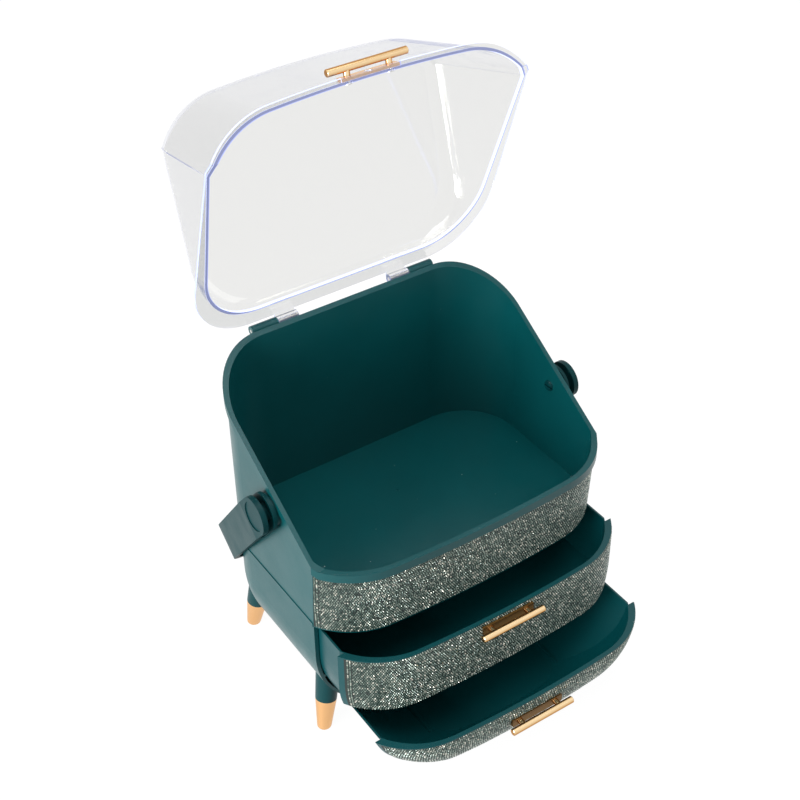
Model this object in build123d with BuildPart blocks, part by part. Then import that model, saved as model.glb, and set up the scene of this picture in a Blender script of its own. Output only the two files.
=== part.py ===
from build123d import *
from math import asin, atan2, copysign, cos, degrees, hypot, pi, radians, sin, sqrt, tan
import os

# Makeup organizer: an open tub with a clear hinged lid and a swinging carry handle,
# standing on a bowl-bottomed casing that holds two bow-fronted drawers.
# Millimetres, Z up, the front faces -Y, X = 0 is the plane of symmetry.
# Pieces are drawn about the middle of the rim, with the drawers shut and the lid down,
# then set as they stand: drawers drawn out, lid open, handle folded back.

# Rim and walls of the tub
lip_width = 280.0
lip_depth = 199.8
lip_height = 7.5
lip_overhang = 1.8
tub_wall = 2.1
tub_front_wall = 2.6
front_rim_height = 203.5
back_rim_height = 306.3
slope_start = -67.7
slope_end = 97.7
front_lean = 4.0
floor_height = 145.4
floor_thickness = 3.0
bead_height = 3.5
bead_stand = 0.6
gate_radius = 1.6
gate_depth = 0.6
gate_x = 1.0
gate_y = 29.5

# Plan shape: a shallow bow in front, tight round corners at the back
bow_radius = 1200.0
bow_half_length = 84.0
bow_corner_radius = 68.0
back_corner_radius = 52.8

# Casing with its bowl bottom
seam_height = 136.7
casing_step = 0.4
bowl_bottom = 13.0
side_curve = 88.0
front_curve = 52.0
back_curve = 50.0
casing_wall = 2.4
shelf_top = 76.4
shelf_thickness = 2.8
rail_spacing = 84.0
rail_width = 4.0
rail_half_length = 38.0

# Drawers
slide_gap = 0.3
upper_drawer_bottom = 76.7
upper_drawer_top = 133.4
lower_drawer_top = 71.5
tray_inset = 4.2
tray_wall = 1.6
drawer_front = 3.5
upper_floor = 2.3
lower_floor = 2.6
tray_back = 86.0
end_gap = 0.3
upper_pull = 34.0
lower_pull = 77.0
rib_spacing = 134.0
rib_width = 2.4
rib_height = 1.6
rib_length = 80.0

# Stone cladding on the fronts
stone_thickness = 1.1
stone_margin = 4.7
stone_edge = 0.9

# Pull bars
bar_length = 61.0
lid_bar_length = 69.0
bar_radius = 3.0
bar_standoff = 8.4
bar_chamfer = 0.5
base_length = 50.0
base_height = 8.0
base_thickness = 2.0
base_corner = 0.8
post_radius = 2.6
screw_spacing = 36.0
screw_radius = 1.5
head_radius = 3.0
head_height = 1.8
head_gap = 0.15
head_sink = 0.4
screw_gap = 0.05
slot_width = 0.8
slot_depth = 0.8
screw_bite = 2.0
upper_bar_height = 125.5
lower_bar_height = 55.5
lid_bar_height = 208.4
lid_stud_radius = 3.0
lid_stud_stand = 1.8

# Lid
lid_gap = 0.3
lid_wall = 2.0
flange_thickness = 2.2
flange_setback = 0.3
lid_top_height = 315.7
lid_top_rise = 0.046
lid_round = 14.5
lid_front_round = 9.2
lid_side_draft = 0.105
lid_front_draft = 0.037
lid_setback = 0.5
lid_front_setback = 3.3
lid_open_angle = 103.5

# Lid hinge
hinge_y = 105.05
hinge_height = 305.5
barrel_radius = 4.2
hinge_pin_radius = 1.5
pin_gap = 0.06
lug_inner = 64.0
lug_outer = 88.0
lug_web = 22.0
knuckle_inner = 45.0
knuckle_gap = 0.3
web_gap = 0.15
web_overlap = 3.0

# Carry handle
pivot_y = -3.7
pivot_height = 221.3
disc_radius = 16.25
disc_outer = 154.9
disc_thickness = 4.6
fork_thickness = 2.8
fork_clearance = 0.3
boss_radius = 13.5
boss_stand = 3.9
hub_radius = 7.0
pivot_pin_radius = 4.0
snap_radius = 4.9
snap_length = 2.0
snap_slot = 1.2
snap_taper = 20.0
dish_radius = 12.5
dish_depth = 0.8
strap_thickness = 5.0
strap_width = 32.0
strap_taper = 7.0
strap_start = 15.0
handle_reach = 175.5
handle_corner = 62.0
handle_rest_gap = 0.3
fork_root = 24.0
fork_blend = 10.0
blend_radius = 5.0
latch_length = 14.0
latch_width = 5.0
latch_offset = -9.5

# Legs
foot_x = 128.0
front_foot_y = -47.0
back_foot_y = 93.0
front_splay = (-6.0, 4.3, 30.0)
back_splay = (-3.6, -4.6, 30.0)
tip_radius = 6.0
tip_round = 2.5
ferrule_length = 30.0
ferrule_radius = 9.2
leg_radius = 10.2
leg_length = 58.0
back_foot_x = 117.0
back_leg_length = 72.0
leg_screw_length = 9.0
leg_screw_head = 1.2
leg_screw_height = 38.0
leg_screw_sink = 0.1
spigot_radius = 4.5
spigot_length = 9.0
spigot_gap = 0.05

# Screws that hold the tub down on the casing
ledge_depth = 9.5
ledge_thickness = 2.4
tub_screw_spacing = 80.0
tub_screw_inset = 6.0
tub_screw_length = 9.0
tub_boss_radius = 3.5

# Worked out from the sizes above
half = lip_width / 2 - lip_overhang
wall_front = lip_depth / 2 - lip_overhang
case_half = half - casing_step
case_front = wall_front - front_lean
case_back = wall_front - casing_step
rim_slope = (back_rim_height - front_rim_height) / (slope_end - slope_start)
side_centre = bowl_bottom + side_curve
bow_turn = asin(bow_half_length / bow_radius)
bow_centre_x = (bow_radius - bow_corner_radius) * sin(bow_turn)
bow_centre_y = bow_radius - (bow_radius - bow_corner_radius) * cos(bow_turn)
corner_turn = asin((case_half - bow_centre_x) / bow_corner_radius)
bow_depth = bow_centre_y - bow_corner_radius * cos(corner_turn)
edge_y = bow_depth - case_front
tub_screw_y = case_back - tub_screw_inset
lid_height = lid_top_height + lid_top_rise * lip_depth / 2 - front_rim_height - lid_gap
handle_half = strap_width / 2
far = 400.0

os.makedirs("parts", exist_ok=True)


def rim_height(y):
    """Height of the rim's top face at depth y."""
    return front_rim_height + rim_slope * max(0.0, y - slope_start)


def outline(half_width, front, back):
    """Plan outline: a bowed front between two edges, straight sides and round back corners."""
    scale = half_width / case_half
    centre = (bow_centre_x * scale, bow_centre_y * scale - front)
    corner = bow_corner_radius * scale
    turn = asin(min(1.0, (half_width - centre[0]) / corner))
    middle = (bow_turn + turn) / 2
    back_radius = back_corner_radius * scale

    def on_corner(angle):
        return (centre[0] + corner * sin(angle), centre[1] - corner * cos(angle))

    start, mid, edge = on_corner(bow_turn), on_corner(middle), on_corner(turn)
    bend = back_radius * (1 - sin(radians(45)))
    with BuildLine() as path:
        ThreePointArc((-start[0], start[1]), (0, -front), start)
        ThreePointArc(start, mid, edge)
        Line(edge, (half_width, back - back_radius))
        ThreePointArc(
            (half_width, back - back_radius), (half_width - bend, back - bend), (half_width - back_radius, back)
        )
        Line((half_width - back_radius, back), (back_radius - half_width, back))
        ThreePointArc(
            (back_radius - half_width, back), (bend - half_width, back - bend), (-half_width, back - back_radius)
        )
        Line((-half_width, back - back_radius), (-edge[0], edge[1]))
        ThreePointArc((-edge[0], edge[1]), (-mid[0], mid[1]), (-start[0], start[1]))
    return path.line


def bowl_reach(height, reach, radius, inset):
    """Reach of the bowl's side at a height, for a surface lying inset inside the casing's skin."""
    drop = max(0.0, bowl_bottom + radius - height)
    return reach - radius + sqrt(max(0.0, (radius - inset) ** 2 - drop**2))


def bowl(inset):
    """The casing's filled shape up to the seam, its skin moved inwards by inset."""
    curve = side_curve - inset
    split = asin((side_curve - max(front_curve, back_curve)) / curve)
    with BuildPart() as shape:
        for first, last, steps in ((pi / 2, split, 6), (split, 0, 3)):
            for step in range(steps + 1):
                height = side_centre - curve * sin(first + (last - first) * step / steps)
                with BuildSketch(Plane.XY.offset(height)):
                    add(
                        outline(
                            bowl_reach(height, case_half, side_curve, inset),
                            bowl_reach(height, case_front, front_curve, inset),
                            bowl_reach(height, case_back, back_curve, inset),
                        )
                    )
                    make_face()
            loft()
        with BuildSketch(Plane.XY.offset(side_centre)):
            add(outline(case_half - inset, case_front - inset, case_back - inset))
            make_face()
        extrude(amount=seam_height - side_centre)
    return shape.part


def slab(low, high, front=-far, back=far, half_width=far):
    """A box between two heights, for cutting and keeping."""
    box = Box(2 * half_width, back - front, high - low, mode=Mode.PRIVATE)
    return Pos(0, (front + back) / 2, (low + high) / 2) * box


def below_rim(offset):
    """Everything under the rim's top face, moved up by offset."""
    with BuildPart() as shape:
        with BuildSketch(Plane.YZ):
            with BuildLine():
                Polyline(
                    (-far, -far),
                    (far, -far),
                    (far, rim_height(far) + offset),
                    (slope_start, front_rim_height + offset),
                    (-far, front_rim_height + offset),
                    close=True,
                )
            make_face()
        extrude(amount=far, both=True)
    return shape.part


def tub_solid(inset, front_inset, low, high):
    """The tub's outer shape between two heights, its front leaning out as it rises."""
    lean = front_lean / (front_rim_height - seam_height)
    with BuildPart() as shape:
        for height in (low, high):
            with BuildSketch(Plane.XY.offset(height)):
                front = case_front + lean * (height - seam_height)
                add(outline(half - inset, front - front_inset, wall_front - inset))
                make_face()
        loft(ruled=True)
    return shape.part


def band_prism(low, high):
    """The space in front of the bow's side edges, from which the stone band is cut."""
    lean = front_lean / (front_rim_height - seam_height)
    with BuildPart() as shape:
        with BuildSketch(Plane.YZ):
            with BuildLine():
                Polyline(
                    (-far, low),
                    (edge_y - lean * (low - seam_height) - end_gap, low),
                    (edge_y - lean * (high - seam_height) - end_gap, high),
                    (-far, high),
                    close=True,
                )
            make_face()
        extrude(amount=far, both=True)
    return shape.part


def lid_inset(depth, curve, draft, setback, skin):
    """How far the lid's skin stands inside the rim's outline at a depth below its top."""
    drop = max(0.0, curve - depth)
    return setback + draft * (lid_height - depth) + curve - sqrt(max(0.0, (curve - skin) ** 2 - drop**2))


def lid_solid(skin):
    """The lid's filled shape down past its rim, its surface moved inwards by skin."""
    with BuildPart() as shape:
        for angle in (0, 18, 36, 54, 72, 90):
            depth = lid_round - (lid_round - skin) * cos(radians(angle))
            with BuildSketch(lid_plane(depth)):
                add(lid_outline(depth, skin))
                make_face()
        loft()
        for depth in (lid_round, lid_height + lid_round):
            with BuildSketch(lid_plane(depth)):
                add(lid_outline(depth, skin))
                make_face()
        loft(ruled=True)
    return shape.part


def lid_plane(depth):
    """The plane at a depth below the lid's gently sloping top."""
    return Plane(origin=(0, 0, lid_top_height - depth), x_dir=(1, 0, 0), z_dir=(0, lid_top_rise, 1))


def lid_outline(depth, skin):
    """The lid's outline at a depth below its top."""
    side = lid_inset(depth, lid_round, lid_side_draft, lid_setback, skin)
    front = lid_inset(depth, lid_front_round, lid_front_draft, lid_front_setback, skin)
    return outline(lip_width / 2 - side, lip_depth / 2 - front, lip_depth / 2 - side)


def drawer(low, high, floor_top):
    """A drawer's tray with its bowed front, shut, before the cladding and screws."""
    with BuildPart() as body:
        add(tray_bowl)
        add(slab(low, high, back=tray_back), mode=Mode.INTERSECT)
        add(full_bowl & slab(low, high, back=edge_y - end_gap))
        add(inner_bowl & slab(floor_top, far, back=tray_back - tray_wall), mode=Mode.SUBTRACT)
        add(Pos(0, -front_gain, 0) * inner_bowl & slab(floor_top, far, back=0), mode=Mode.SUBTRACT)
    return body.part


def cladding(low, high):
    """The thin stone layer on a drawer's front."""
    return (full_bowl & slab(low, high, back=edge_y - stone_margin)) - clad_bowl


def screw_spots(face, height):
    """Where a pull bar's two screws stand, looking at the front."""
    return [(side * screw_spacing / 2, height) for side in (-1, 1)]


def pull_bar(length, height, face, inner):
    """A round bar on two posts, standing off a front whose face is at y = face."""
    axis_y = face - bar_standoff
    with BuildPart() as bar:
        with BuildSketch(Plane.YZ.offset(-length / 2)):
            with Locations((axis_y, height)):
                Circle(bar_radius)
        extrude(amount=length)
        chamfer(bar.edges().filter_by(GeomType.CIRCLE), bar_chamfer)
        with BuildSketch(Plane.XZ.offset(-axis_y)):
            with Locations(*screw_spots(face, height)):
                Circle(post_radius)
        extrude(amount=base_thickness - bar_standoff)
        add(bar_screws(height, face, inner, screw_gap), mode=Mode.SUBTRACT)
    return bar.part


def bar_base(height, face, inner, body):
    """The flat plate behind a pull bar, its back cut to the front it lies on."""
    with BuildPart() as plate:
        with BuildSketch(Plane.XZ.offset(base_thickness - face)):
            with Locations((0, height)):
                RectangleRounded(base_length, base_height, base_corner)
        extrude(amount=-2 * base_thickness)
        add(body, mode=Mode.SUBTRACT)
        add(bar_screws(height, face, inner, screw_gap), mode=Mode.SUBTRACT)
    return plate.part


def bar_screws(height, face, inner, gap):
    """The two screws of a pull bar from the inside at y = inner, or their holes when grown by gap."""
    seat = inner - head_sink
    reach = seat - (face - base_thickness - screw_bite)
    with BuildPart() as screws:
        with BuildSketch(Plane.XZ.offset(-seat)):
            with Locations(*screw_spots(face, height)):
                Circle(head_radius + 3 * gap)
        extrude(amount=-(head_height + 60 * gap))
        with BuildSketch(Plane.XZ.offset(-seat)):
            with Locations(*screw_spots(face, height)):
                Circle(screw_radius + gap)
        extrude(amount=reach + 2 * gap)
        if gap == 0:
            with BuildSketch(Plane.XZ.offset(-seat - head_height)):
                with Locations(*screw_spots(face, height)):
                    Rectangle(2 * screw_radius, slot_width)
            extrude(amount=slot_depth, mode=Mode.SUBTRACT)
    return screws.part


full_bowl = bowl(0)
lined_bowl = bowl(casing_wall)
tray_bowl = bowl(tray_inset)
inner_bowl = bowl(tray_inset + tray_wall)
front_gain = tray_inset + tray_wall - drawer_front
clad_bowl = bowl(stone_thickness)
rim_ceiling = below_rim(0)
top_height = rim_height(lip_depth / 2) + lip_height

# Tub: walls, overhanging rim, floor, hinge lugs and the round bosses that carry the handle

with BuildPart() as tub_stone_band:
    add(tub_solid(0, 0, seam_height, top_height))
    add(tub_solid(stone_thickness, stone_thickness, seam_height, top_height), mode=Mode.SUBTRACT)
    add(band_prism(seam_height + stone_edge, front_rim_height - lip_height - end_gap), mode=Mode.INTERSECT)

with BuildPart() as tub_lip:
    with BuildSketch(Plane.XY.offset(front_rim_height - lip_height)):
        add(outline(lip_width / 2, lip_depth / 2, lip_depth / 2))
        make_face()
    extrude(amount=top_height)
    add(below_rim(-lip_height), mode=Mode.SUBTRACT)

with BuildPart() as upper_tub:
    add(tub_solid(0, 0, seam_height, top_height))
    with BuildSketch(Plane.XY.offset(seam_height)):
        add(outline(half + bead_stand, case_front, wall_front + bead_stand))
        make_face()
        with Locations((0, edge_y + far / 2)):
            Rectangle(far, far, mode=Mode.INTERSECT)
    extrude(amount=bead_height)
    add(tub_lip.part)
    add(rim_ceiling, mode=Mode.INTERSECT)
    add(tub_stone_band.part, mode=Mode.SUBTRACT)
    for side in (-1, 1):
        with BuildSketch(Plane.YZ.offset(side * (half - tub_wall / 2))):
            with Locations((pivot_y, pivot_height)):
                Circle(boss_radius)
        extrude(amount=side * (boss_stand + tub_wall / 2))
        with BuildSketch(Plane.YZ.offset(side * lug_inner)):
            with BuildLine():
                Polyline(
                    (wall_front - tub_wall / 2, hinge_height - lug_web),
                    (hinge_y + barrel_radius, hinge_height),
                    (wall_front - tub_wall / 2, hinge_height),
                    close=True,
                )
            make_face()
            with Locations((hinge_y, hinge_height)):
                Circle(barrel_radius)
        extrude(amount=side * (lug_outer - lug_inner))
    add(tub_solid(tub_wall, tub_front_wall, floor_height, top_height), mode=Mode.SUBTRACT)
    add(tub_solid(tub_wall, tub_front_wall, seam_height, floor_height - floor_thickness), mode=Mode.SUBTRACT)
    with BuildSketch(Plane.XY.offset(seam_height)):
        with Locations((0, tub_screw_y)):
            with GridLocations(tub_screw_spacing, 0, 3, 1):
                Circle(tub_boss_radius)
    extrude(amount=floor_height - floor_thickness / 2 - seam_height)
    with BuildSketch(Plane.XY.offset(seam_height)):
        with Locations((0, tub_screw_y)):
            with GridLocations(tub_screw_spacing, 0, 3, 1):
                Circle(screw_radius + screw_gap)
    extrude(amount=tub_screw_length - ledge_thickness + end_gap, mode=Mode.SUBTRACT)
    with BuildSketch(Plane.XY.offset(floor_height)):
        with Locations((1, 29.5)):
            Circle(gate_radius)
    extrude(amount=-gate_depth, mode=Mode.SUBTRACT)
    with BuildSketch(Plane.YZ):
        with Locations((pivot_y, pivot_height)):
            Circle(pivot_pin_radius + pin_gap)
    extrude(amount=lip_width, both=True, mode=Mode.SUBTRACT)
    with BuildSketch(Plane.YZ):
        with Locations((hinge_y, hinge_height)):
            Circle(hinge_pin_radius + pin_gap)
    extrude(amount=lip_width, both=True, mode=Mode.SUBTRACT)

# Casing: bowl-bottomed walls, the shelf between the drawers, two rails and the screw ledge
screw_ledge = slab(seam_height - ledge_thickness, seam_height, front=case_back - ledge_depth)
channel_curve = side_curve - tray_inset + slide_gap
channel_side = case_half - side_curve
channel_bend = channel_curve * sin(radians(45))
with BuildPart() as drawer_channel:
    with BuildSketch(Plane.XZ):
        with BuildLine():
            for side in (-1, 1):
                Line((0, side_centre - channel_curve), (side * channel_side, side_centre - channel_curve))
                ThreePointArc(
                    (side * channel_side, side_centre - channel_curve),
                    (side * (channel_side + channel_bend), side_centre - channel_bend),
                    (side * (channel_side + channel_curve), side_centre),
                )
            Line((-channel_side - channel_curve, side_centre), (channel_side + channel_curve, side_centre))
        make_face()
        with Locations((0, shelf_top - shelf_thickness - far / 2)):
            Rectangle(far, far, mode=Mode.INTERSECT)
    extrude(amount=far)
with BuildPart() as lower_casing:
    add(full_bowl)
    add(lined_bowl - slab(shelf_top - shelf_thickness, shelf_top) - screw_ledge, mode=Mode.SUBTRACT)
    add(drawer_channel.part, mode=Mode.SUBTRACT)
    with BuildSketch(Plane.XY.offset(bowl_bottom + casing_wall / 2)):
        with GridLocations(rail_spacing, 0, 2, 1):
            Rectangle(rail_width, 2 * rail_half_length)
    extrude(amount=casing_wall / 2 + tray_inset - casing_wall - slide_gap)
    add(slab(-far, far, front=edge_y), mode=Mode.INTERSECT)
    with BuildSketch(Plane.XY.offset(seam_height)):
        with Locations((0, tub_screw_y)):
            with GridLocations(tub_screw_spacing, 0, 3, 1):
                Circle(screw_radius + screw_gap)
    extrude(amount=-2 * ledge_thickness, mode=Mode.SUBTRACT)

# Upper drawer
upper_face = -bowl_reach(upper_bar_height, case_front, front_curve, 0)
upper_inner = -bowl_reach(upper_bar_height, case_front, front_curve, tray_inset + tray_wall) - front_gain
upper_screw_holes = bar_screws(upper_bar_height, upper_face, upper_inner, screw_gap)
with BuildPart() as upper_drawer_stones:
    add(cladding(upper_drawer_bottom, upper_drawer_top - stone_edge))
    add(upper_screw_holes, mode=Mode.SUBTRACT)
with BuildPart() as upper_drawer:
    add(drawer(upper_drawer_bottom, upper_drawer_top, upper_drawer_bottom + upper_floor))
    add(upper_drawer_stones.part, mode=Mode.SUBTRACT)
    add(upper_screw_holes, mode=Mode.SUBTRACT)
with BuildPart() as upper_drawer_bar:
    add(pull_bar(bar_length, upper_bar_height, upper_face, upper_inner))
with BuildPart() as upper_drawer_bar_plate:
    add(bar_base(upper_bar_height, upper_face, upper_inner, full_bowl))
with BuildPart() as upper_drawer_bar_screws:
    add(bar_screws(upper_bar_height, upper_face, upper_inner, 0))

# Lower drawer, its floor stiffened by two low ribs
lower_face = -bowl_reach(lower_bar_height, case_front, front_curve, 0)
lower_inner = -bowl_reach(lower_bar_height, case_front, front_curve, tray_inset + tray_wall) - front_gain
lower_screw_holes = bar_screws(lower_bar_height, lower_face, lower_inner, screw_gap)
lower_floor_top = bowl_bottom + tray_inset + lower_floor
with BuildPart() as lower_drawer_stones:
    add(cladding(0, lower_drawer_top - stone_edge))
    add(lower_screw_holes, mode=Mode.SUBTRACT)
with BuildPart() as lower_drawer:
    add(drawer(0, lower_drawer_top, lower_floor_top))
    with BuildSketch(Plane.XY.offset(lower_floor_top)):
        with GridLocations(rib_spacing, 0, 2, 1):
            Rectangle(rib_width, rib_length)
    extrude(amount=rib_height)
    add(lower_drawer_stones.part, mode=Mode.SUBTRACT)
    add(lower_screw_holes, mode=Mode.SUBTRACT)
with BuildPart() as lower_drawer_bar:
    add(pull_bar(bar_length, lower_bar_height, lower_face, lower_inner))
with BuildPart() as lower_drawer_bar_plate:
    add(bar_base(lower_bar_height, lower_face, lower_inner, full_bowl))
with BuildPart() as lower_drawer_bar_screws:
    add(bar_screws(lower_bar_height, lower_face, lower_inner, 0))

# Lid: a thin clear shell with a flat rim, two hinge knuckles and a stud for its bar's plate
lid_depth = lid_top_height + lid_top_rise * lip_depth / 2 - lid_bar_height
lid_face = lid_inset(lid_depth, lid_front_round, lid_front_draft, lid_front_setback, 0) - lip_depth / 2
lid_inner = lid_face + lid_wall
lid_body = lid_solid(0)
knuckle_outer = lug_inner - knuckle_gap
web_low = rim_height(lip_depth / 2) + lid_gap + web_gap
web_front = lip_depth / 2 - web_overlap
with BuildPart() as lid_flange:
    with BuildSketch(Plane.XY.offset(front_rim_height)):
        add(outline(*[reach - flange_setback for reach in (lip_width / 2, lip_depth / 2, lip_depth / 2)]))
        make_face()
    extrude(amount=top_height)
    add(below_rim(lid_gap + flange_thickness), mode=Mode.INTERSECT)
    with BuildSketch(Plane.XZ.offset(-lid_inner)):
        with Locations((0, lid_bar_height)):
            Rectangle(base_length + 2 * end_gap, base_height + 2 * end_gap)
    extrude(amount=lip_depth / 2, mode=Mode.SUBTRACT)
with BuildPart() as lid_shell:
    add(lid_body)
    add(lid_flange.part)
    add(below_rim(lid_gap), mode=Mode.SUBTRACT)
    with BuildSketch(Plane.XZ.offset(-lid_inner)):
        with Locations((0, lid_bar_height)):
            Circle(lid_stud_radius)
    extrude(amount=lid_wall + lid_stud_stand)
    add(lid_solid(lid_wall), mode=Mode.SUBTRACT)
    for side in (-1, 1):
        with BuildSketch(Plane.YZ.offset(side * knuckle_inner)):
            with Locations((hinge_y, hinge_height)):
                Circle(barrel_radius)
            with BuildLine():
                Polyline(
                    (web_front, web_low),
                    (hinge_y, web_low),
                    (hinge_y, hinge_height + barrel_radius),
                    (web_front, rim_height(web_front) + lid_gap + flange_thickness),
                    close=True,
                )
            make_face()
        extrude(amount=side * (knuckle_outer - knuckle_inner))
    with BuildSketch(Plane.YZ):
        with Locations((hinge_y, hinge_height)):
            Circle(hinge_pin_radius + pin_gap)
    extrude(amount=lip_width, both=True, mode=Mode.SUBTRACT)
    add(bar_screws(lid_bar_height, lid_face, lid_inner, screw_gap), mode=Mode.SUBTRACT)
with BuildPart() as lid_bar:
    add(pull_bar(lid_bar_length, lid_bar_height, lid_face, lid_inner))
with BuildPart() as lid_bar_plate:
    add(bar_base(lid_bar_height, lid_face, lid_inner, lid_body))
    with BuildSketch(Plane.XZ.offset(-lid_inner)):
        with Locations((0, lid_bar_height)):
            Circle(lid_stud_radius + head_gap)
    extrude(amount=lid_wall * 4, mode=Mode.SUBTRACT)
with BuildPart() as lid_bar_screws:
    add(bar_screws(lid_bar_height, lid_face, lid_inner, 0))

# Hinge pins, one through each lug into the lid's knuckle beside it
hinge_pins = []
for side in (-1, 1):
    with BuildPart() as hinge_pin:
        with BuildSketch(Plane.YZ.offset(side * knuckle_inner)):
            with Locations((hinge_y, hinge_height)):
                Circle(hinge_pin_radius)
        extrude(amount=side * (lug_outer - knuckle_inner))
    hinge_pins.append(hinge_pin)

# Carry handle, drawn upright about its pivots: a wide strap whose arms end in forks
fork_inner = half + boss_stand + fork_clearance
slot_inner = fork_inner + fork_thickness
slot_outer = disc_outer - disc_thickness
strap_lean = sin(radians(strap_taper)) / cos(radians(strap_taper))
strap_in = strap_thickness / cos(radians(strap_taper))
handle_top = handle_reach + strap_thickness


def strap_face(reach):
    """Half the handle's outer width at a distance from its pivots."""
    return disc_outer - strap_lean * (reach - strap_start)


blend_end = fork_root + fork_blend
with BuildPart() as carry_handle:
    with BuildSketch(Plane.XZ) as arch:
        with BuildLine():
            Polyline(
                (-disc_outer, -disc_radius),
                (disc_outer, -disc_radius),
                (disc_outer, strap_start),
                (strap_face(handle_top), handle_top),
                (-strap_face(handle_top), handle_top),
                (-disc_outer, strap_start),
                close=True,
            )
        make_face()
        fillet(arch.vertices().group_by(Axis.Y)[-1], handle_corner)
    extrude(amount=handle_half, both=True)
    with BuildSketch(Plane.XZ) as opening:
        with BuildLine():
            Polyline(
                (fork_inner, -2 * disc_radius),
                (fork_inner, fork_root),
                (strap_face(blend_end) - strap_in, blend_end),
                (strap_face(handle_reach) - strap_in, handle_reach),
                (strap_in - strap_face(handle_reach), handle_reach),
                (strap_in - strap_face(blend_end), blend_end),
                (-fork_inner, fork_root),
                (-fork_inner, -2 * disc_radius),
                close=True,
            )
        make_face()
        fillet(opening.vertices().group_by(Axis.Y)[-1], handle_corner - strap_thickness)
        fillet(opening.vertices().filter_by(lambda v: fork_root - 1 < v.Y < blend_end + 1), blend_radius)
    extrude(amount=strap_width, both=True, mode=Mode.SUBTRACT)
    with BuildSketch(Plane.YZ):
        Circle(disc_radius)
        with Locations((0, handle_top)):
            Rectangle(strap_width, 2 * handle_top)
    extrude(amount=far, both=True, mode=Mode.INTERSECT)
    for side in (-1, 1):
        with BuildSketch(Plane.XZ):
            with Locations((side * (slot_inner + slot_outer) / 2, fork_root - far / 2)):
                Rectangle(slot_outer - slot_inner, far)
        extrude(amount=strap_width, both=True, mode=Mode.SUBTRACT)
        with BuildSketch(Plane.YZ.offset(side * (fork_inner + fork_thickness / 2))):
            Circle(hub_radius)
        extrude(amount=side * (slot_outer - slot_inner + fork_thickness))
        with BuildSketch(Plane.YZ.offset(side * fork_inner)):
            Circle(pivot_pin_radius + screw_gap)
        extrude(amount=side * (slot_outer - fork_inner), mode=Mode.SUBTRACT)
        with BuildSketch(Plane.YZ.offset(side * fork_inner)):
            with Locations((0, latch_offset)):
                Rectangle(latch_length, latch_width)
        extrude(amount=side * fork_thickness, mode=Mode.SUBTRACT)
        with BuildSketch(Plane.YZ.offset(side * disc_outer)):
            Circle(dish_radius)
        extrude(amount=-side * dish_depth, mode=Mode.SUBTRACT)

# Handle pins: pushed through the tub wall, their split ends catching inside
handle_pins = []
for side in (-1, 1):
    with BuildPart() as handle_pin:
        with BuildSketch(Plane.YZ.offset(side * (half - tub_wall - screw_gap))):
            with Locations((pivot_y, pivot_height)):
                Circle(snap_radius)
        extrude(amount=-side * snap_length, taper=snap_taper)
        with BuildSketch(Plane.YZ.offset(side * (half - tub_wall - screw_gap))):
            with Locations((pivot_y, pivot_height)):
                Circle(pivot_pin_radius)
        extrude(amount=side * (slot_outer - half + tub_wall))
        with BuildSketch(Plane.YZ.offset(side * (half - tub_wall - 2 * snap_length))):
            with Locations((pivot_y, pivot_height)):
                Rectangle(3 * snap_radius, snap_slot)
        extrude(amount=side * snap_length * 4, mode=Mode.SUBTRACT)
    handle_pins.append(handle_pin)


# Legs: each leans outwards to its foot, its upper end hollowed to fit the casing
def leg_plane(foot, splay, along):
    """The plane across a leg at a distance from its foot."""
    return Plane(origin=Vector(foot) + Vector(splay).normalized() * along, z_dir=splay)


def leg_upper(foot, splay, length):
    """The leg between its gilded tip and the casing, with a spigot for the tip."""
    with BuildPart() as upper:
        with BuildSketch(leg_plane(foot, splay, ferrule_length)):
            Circle(ferrule_radius)
        with BuildSketch(leg_plane(foot, splay, length)):
            Circle(leg_radius)
        loft()
        add(full_bowl, mode=Mode.SUBTRACT)
        with BuildSketch(leg_plane(foot, splay, ferrule_length - spigot_length)):
            Circle(spigot_radius)
        extrude(amount=2 * spigot_length)
    return upper.part


def leg_tip(foot, splay):
    """The tapering tip, level underneath and rounded around its foot."""
    with BuildPart() as tip:
        with BuildSketch(leg_plane(foot, splay, -tip_radius)):
            Circle(tip_radius - tip_radius * (ferrule_radius - tip_radius) / ferrule_length)
        with BuildSketch(leg_plane(foot, splay, ferrule_length)):
            Circle(ferrule_radius)
        loft()
        add(slab(0, far), mode=Mode.INTERSECT)
        fillet(tip.edges().group_by(Axis.Z)[0], tip_round)
        with BuildSketch(leg_plane(foot, splay, ferrule_length - spigot_length - end_gap)):
            Circle(spigot_radius + spigot_gap)
        extrude(amount=2 * spigot_length, mode=Mode.SUBTRACT)
    return tip.part


def leg_seat(foot, splay):
    """The plane on the casing's skin where a leg's screw comes out towards the leg."""
    centre = Vector(foot) + Vector(splay) * (leg_screw_height / splay[2])
    hollow = Vector(
        copysign(case_half - side_curve, centre.X), min(centre.Y, case_back - back_corner_radius), side_centre
    )
    place, normal = min(
        full_bowl.find_intersection_points(Axis(centre, hollow - centre)), key=lambda hit: (hit[0] - centre).length
    )
    if normal.dot(centre - hollow) < 0:
        normal = -normal
    return Plane(origin=place, z_dir=normal)


def leg_screw(seat, gap):
    """A countersunk screw from inside the casing, or its hole when grown by gap."""
    head = leg_screw_sink - casing_wall
    with BuildPart() as screw:
        with BuildSketch(seat.offset(head)):
            Circle(head_radius + gap)
        with BuildSketch(seat.offset(head + leg_screw_head)):
            Circle(screw_radius + gap)
        loft()
        with BuildSketch(seat.offset(head + leg_screw_head)):
            Circle(screw_radius + gap)
        extrude(amount=leg_screw_length + 2 * gap)
        if gap > 0:
            with BuildSketch(seat.offset(head)):
                Circle(head_radius + gap)
            extrude(amount=-leg_screw_head)
    return screw.part


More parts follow.
